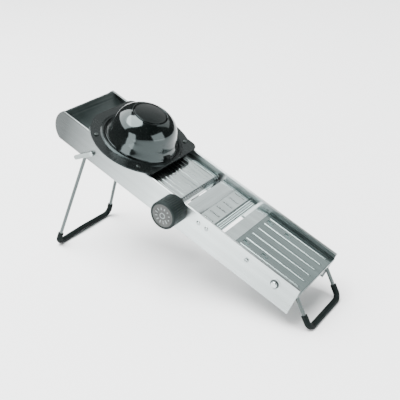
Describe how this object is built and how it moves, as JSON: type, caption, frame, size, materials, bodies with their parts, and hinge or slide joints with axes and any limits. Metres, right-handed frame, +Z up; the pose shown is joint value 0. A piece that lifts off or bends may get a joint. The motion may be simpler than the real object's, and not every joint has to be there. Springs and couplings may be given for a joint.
{
  "type": "mandoline slicer",
  "caption": "Stainless mandoline slicer on folding wire legs, with a tilting feed plate, thickness knob, straight and rippled blades, lifting comb and sliding domed hand guard.",
  "frame": {"origin": "middle of the bounding box on the surface the slicer stands on", "axes": "+X towards the low end of the deck, +Y away from the knob side, +Z up"},
  "size_m": [0.4191, 0.1444, 0.2331],
  "materials": {
    "panel_steel": "brushed along the length",
    "deck_steel": "brushed along the length",
    "blade_steel": "finely ground",
    "fixing_steel": "polished",
    "rod_steel": "polished",
    "wire_steel": "polished",
    "mech_steel": "satin",
    "grip_plastic": "fine grained",
    "knob_plastic": "fine grained",
    "guard_plastic": "gloss",
    "dome_plastic": "high gloss",
    "inner_plastic": "satin",
    "nylon": "satin",
    "rubber": "soft matt"
  },
  "bodies": {
    "chassis": {"near_side_panel": "panel_steel", "far_side_panel": "panel_steel", "rear_grip": "grip_plastic", "rear_tie_plate": "deck_steel", "grip_screws": "fixing_steel", "feed_hinge_rod": "rod_steel", "blade_bed": "deck_steel", "straight_blade": "blade_steel", "mid_deck_plate": "deck_steel", "waffle_blade": "blade_steel", "blade_screws": "fixing_steel", "deck_rivets": "fixing_steel", "runway_lead": "deck_steel", "runway_plate": "deck_steel", "runway_screws": "fixing_steel", "runway_nuts": "fixing_steel", "tie_rods": "rod_steel", "rear_leg_brackets": "nylon", "front_leg_bushes": "nylon", "knob_bush": "nylon"},
    "feed": {"feed_plate": "deck_steel", "cam_follower_pin": "rod_steel", "comb_guides": "inner_plastic"},
    "knob": {"thickness_knob": "knob_plastic", "knob_dial": "knob_plastic", "knob_shaft": "rod_steel", "thickness_cam": "mech_steel"},
    "comb": {"julienne_comb": "blade_steel", "comb_carrier": "inner_plastic", "comb_finger_tab": "inner_plastic"},
    "rear_leg": {"rear_leg_wire": "wire_steel", "rear_leg_sleeve": "rubber"},
    "front_leg": {"front_leg_wire": "wire_steel", "front_leg_sleeve": "rubber", "front_leg_caps": "rod_steel"},
    "lock_lever": {"leg_lock_lever": "mech_steel", "lever_rivet": "fixing_steel", "lock_cam": "mech_steel"},
    "guard": {"guard_base": "guard_plastic", "guard_dome": "dome_plastic", "guard_glides": "nylon", "guard_studs": "fixing_steel", "guard_latch": "guard_plastic"},
    "pusher": {"pusher_cap": "dome_plastic", "pusher_stem": "inner_plastic", "pusher_plate": "inner_plastic", "pusher_pins": "rod_steel", "pusher_screw": "fixing_steel"}
  },
  "joints": [
    {"name": "knob_turn", "type": "hinge", "parent": "chassis", "child": "knob", "pos_m": [0.01084, -0.04355, 0.12328], "axis": [0, 1, 0], "range_deg": [-75.78, 34.22]},
    {"name": "feed_tilt", "type": "hinge", "parent": "chassis", "child": "feed", "pos_m": [-0.13694, 0.00945, 0.18644], "axis": [0, 1, 0], "range_deg": [-1.01, 2.22]},
    {"name": "comb_slide", "type": "slide", "parent": "feed", "child": "comb", "axis": [0.3873, 0, 0.922], "range_m": [-0.009, 0]},
    {"name": "rear_leg_fold", "type": "hinge", "parent": "chassis", "child": "rear_leg", "pos_m": [-0.14356, 0.00945, 0.16861], "axis": [0, 1, 0], "range_deg": [-72, 0]},
    {"name": "front_leg_fold", "type": "hinge", "parent": "chassis", "child": "front_leg", "pos_m": [0.15959, 0.00945, 0.05961], "axis": [0, 1, 0], "range_deg": [0, 140]},
    {"name": "lock_lever_turn", "type": "hinge", "parent": "chassis", "child": "lock_lever", "pos_m": [-0.12707, -0.04355, 0.16603], "axis": [0, 1, 0], "range_deg": [0, 35]},
    {"name": "guard_slide", "type": "slide", "parent": "chassis", "child": "guard", "axis": [0.922, 0, -0.3873], "range_m": [-0.02, 0.235]},
    {"name": "pusher_slide", "type": "slide", "parent": "guard", "child": "pusher", "axis": [0.3873, 0, 0.922], "range_m": [-0.018, 0]}
  ],
  "couplings": [
    {"joint": "feed_tilt", "follows": "knob_turn", "ratio": -0.029177}
  ]
}
